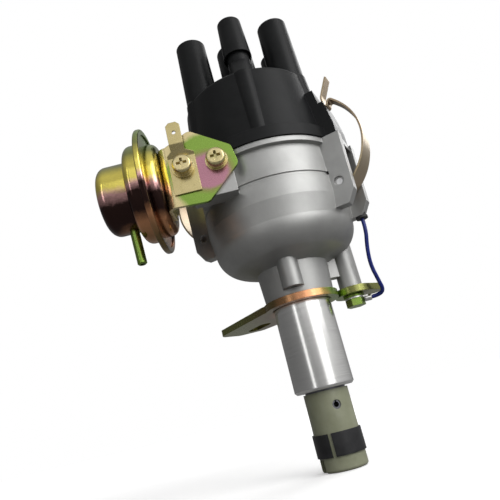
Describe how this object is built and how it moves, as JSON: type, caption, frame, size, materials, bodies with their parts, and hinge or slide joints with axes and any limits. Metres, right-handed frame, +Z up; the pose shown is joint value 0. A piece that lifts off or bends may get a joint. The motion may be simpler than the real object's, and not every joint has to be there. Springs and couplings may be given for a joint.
{
  "type": "ignition distributor",
  "caption": "Breaker-point ignition distributor with vacuum and centrifugal advance, clipped tower cap, clamp plate and slotted drive coupling.",
  "frame": {"origin": "on the shaft axis, in the plane of the clamp plate's engine face", "axes": "+Z up the shaft towards the cap, -X towards the vacuum unit, +Y away from the bracket screws"},
  "size_m": [0.1276, 0.0958, 0.2196],
  "materials": {
    "cast_aluminium": "bead-blasted casting, turned shank",
    "bronze": "plain sintered bearing bronze",
    "steel": "machined steel",
    "spring_steel": "dark tempered spring steel",
    "black_steel": "black oxide",
    "nylon": "ivory nylon",
    "zinc_yellow": "yellow zinc, iridescent gold, pink and green",
    "zinc_olive": "olive zinc",
    "cap_plastic": "black moulded phenolic",
    "rotor_plastic": "dark brown moulding",
    "brass": "plain brass",
    "carbon": "pressed carbon",
    "rubber": "moulded rubber",
    "lead_blue": "navy blue insulation",
    "bright_zinc": "bright zinc"
  },
  "bodies": {
    "distributor_body": {"housing": "cast_aluminium", "shaft_bush_lower": "bronze", "shaft_bush_upper": "bronze", "breaker_base_plate": "bright_zinc", "base_plate_screws": "bright_zinc", "clip_pins": "steel", "vacuum_shell_inner": "zinc_yellow", "vacuum_shell_outer": "zinc_yellow", "vacuum_nipple": "zinc_olive", "diaphragm": "rubber", "vacuum_spring": "spring_steel", "vacuum_bracket": "zinc_yellow", "blade_terminal": "brass", "bracket_washers": "zinc_olive", "spring_washers": "zinc_olive", "bracket_screws": "zinc_olive", "clamp_washer": "zinc_olive", "clamp_bolt": "zinc_olive", "ring_terminal": "bright_zinc", "lead_grommet": "rubber", "blue_lead": "lead_blue"},
    "clamp": {"clamp_plate": "zinc_yellow"},
    "drive": {"drive_shaft": "steel", "thrust_washer": "spring_steel", "drive_coupling": "nylon", "roll_pin": "spring_steel", "retaining_ring": "black_steel", "governor_plate": "steel", "advance_springs": "spring_steel"},
    "weight_1": {"flyweight_1": "steel"},
    "weight_2": {"flyweight_2": "steel"},
    "cam": {"cam_sleeve": "steel", "rotor": "rotor_plastic", "rotor_contact": "brass"},
    "breaker": {"advance_plate": "bright_zinc", "fixed_contact": "steel", "contact_spring": "spring_steel", "condenser": "bright_zinc"},
    "breaker_arm": {"contact_arm": "steel"},
    "vacuum_drive": {"pull_rod": "steel", "diaphragm_plate": "steel"},
    "right_clip": {"clip_right": "zinc_yellow"},
    "left_clip": {"clip_left": "zinc_yellow"},
    "cap_body": {"cap": "cap_plastic", "cap_terminals": "brass", "coil_terminal": "brass", "carbon_brush": "carbon", "brush_spring": "spring_steel"}
  },
  "joints": [
    {"name": "timing_swivel", "type": "hinge", "parent": "distributor_body", "child": "clamp", "pos_m": [0, 0, 0], "axis": [0, 0, 1], "range_deg": [-2, 9]},
    {"name": "shaft_spin", "type": "hinge", "parent": "distributor_body", "child": "drive", "pos_m": [0, 0, 0], "axis": [0, 0, 1], "continuous": true},
    {"name": "cam_advance", "type": "hinge", "parent": "drive", "child": "cam", "pos_m": [0, 0, 0], "axis": [0, 0, 1], "range_deg": [0, 12], "stiffness_Nm_per_rad": 0.05, "springref_deg": -5.73, "deforming": ["advance_springs"]},
    {"name": "weight_1_swing", "type": "hinge", "parent": "drive", "child": "weight_1", "pos_m": [0.015, 0, 0], "axis": [0, 0, 1], "range_deg": [-13.75, 0]},
    {"name": "weight_2_swing", "type": "hinge", "parent": "drive", "child": "weight_2", "pos_m": [-0.015, 0, 0], "axis": [0, 0, 1], "range_deg": [-13.75, 0]},
    {"name": "plate_advance", "type": "hinge", "parent": "distributor_body", "child": "breaker", "pos_m": [0, 0, 0], "axis": [0, 0, 1], "range_deg": [-10, 0], "stiffness_Nm_per_rad": 0.35},
    {"name": "vacuum_pull", "type": "slide", "parent": "distributor_body", "child": "vacuum_drive", "axis": [-1, 0, 0], "range_m": [0, 0.0042], "deforming": ["vacuum_spring"]},
    {"name": "points_close", "type": "hinge", "parent": "breaker", "child": "breaker_arm", "pos_m": [0.019, 0.013, 0], "axis": [0, 0, 1], "range_deg": [0, 0.7]},
    {"name": "cap_lift", "type": "slide", "parent": "distributor_body", "child": "cap_body", "axis": [0, 0, 1], "range_m": [0, 0.025]},
    {"name": "clip_right_open", "type": "hinge", "parent": "distributor_body", "child": "right_clip", "pos_m": [0.03382, -0.01549, 0.0459], "axis": [0.4163, 0.9092, 0], "range_deg": [0, 90]},
    {"name": "clip_left_open", "type": "hinge", "parent": "distributor_body", "child": "left_clip", "pos_m": [-0.03382, 0.01549, 0.0459], "axis": [-0.4163, -0.9092, 0], "range_deg": [0, 90]}
  ],
  "couplings": [
    {"joint": "weight_1_swing", "follows": "cam_advance", "ratio": -1.1429},
    {"joint": "weight_2_swing", "follows": "cam_advance", "ratio": -1.1429},
    {"joint": "vacuum_pull", "follows": "plate_advance", "m_per_rad": -0.024},
    {"joint": "clip_right_open", "follows": "cap_lift", "rad_per_m": 62.8},
    {"joint": "clip_left_open", "follows": "cap_lift", "rad_per_m": 62.8}
  ]
}
